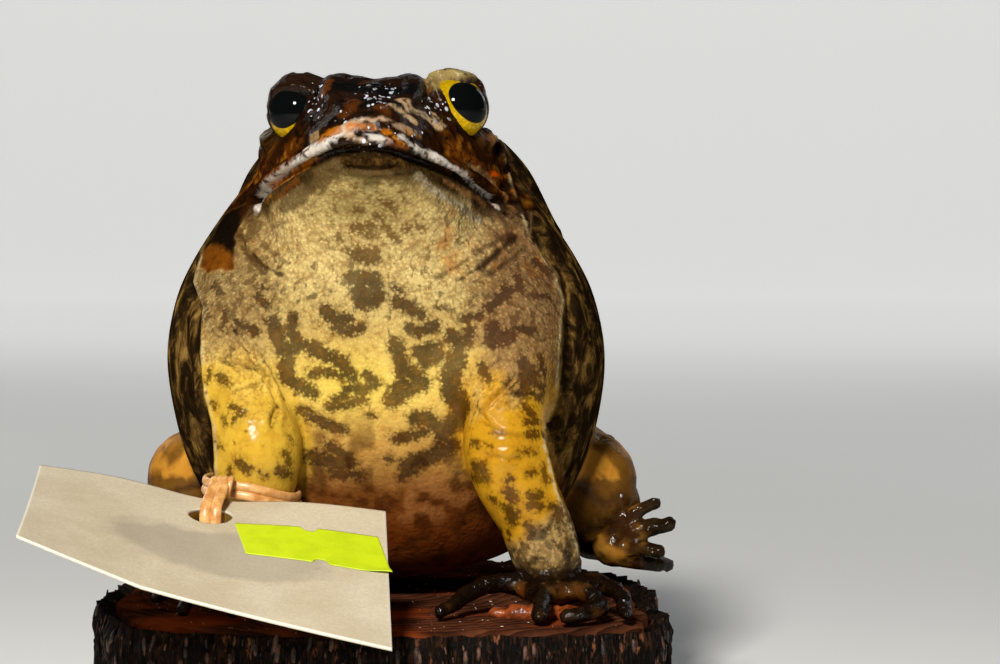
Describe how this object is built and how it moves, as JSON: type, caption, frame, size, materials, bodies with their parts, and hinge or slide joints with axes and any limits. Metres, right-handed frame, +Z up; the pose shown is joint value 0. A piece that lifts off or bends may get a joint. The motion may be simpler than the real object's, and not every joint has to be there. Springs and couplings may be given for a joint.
{
  "type": "mounted toad",
  "caption": "Life-size stuffed cane toad sitting upright on straight front legs, chin raised, on a varnished slice of log, with a card tag tied to its forearm.",
  "frame": {"origin": "middle of the log slice's flat underside", "axes": "+Z up; the toad faces -Y and its left side is +X"},
  "size_m": [0.0909, 0.1131, 0.0982],
  "materials": {
    "wood": "varnished",
    "bark": "rough, varnished in places",
    "crown_skin": "glossy varnish",
    "belly_skin": "glossy varnish",
    "back_skin": "glossy varnish",
    "arm_skin": "glossy varnish",
    "hand_skin": "glossy varnish",
    "hind_skin": "glossy varnish",
    "eye": "polished",
    "putty": "satin",
    "card": "matt card",
    "sticker": "fluorescent paper",
    "band": "matt rubber"
  },
  "bodies": {
    "root": {"log_wood": "wood", "head": "crown_skin", "lower_jaw": "belly_skin", "chest": "belly_skin", "abdomen": "back_skin", "eye_left": "eye", "eye_right": "eye", "upper_arm_left": "arm_skin", "upper_arm_right": "arm_skin", "forearm_left": "arm_skin", "forearm_right": "arm_skin", "hand_left": "hand_skin", "hand_right": "hand_skin", "putty_left": "putty", "thigh_left": "hind_skin", "thigh_right": "hind_skin", "shank_left": "hind_skin", "shank_right": "hind_skin", "foot_left": "hind_skin", "foot_right": "hind_skin", "tag_card": "card", "tag_sticker": "sticker", "band": "band", "log_bark_1": "bark", "log_bark_2": "bark", "log_bark_3": "bark", "log_bark_4": "bark", "log_bark_5": "bark", "log_bark_6": "bark", "log_bark_7": "bark", "log_bark_8": "bark"}
  },
  "joints": []
}
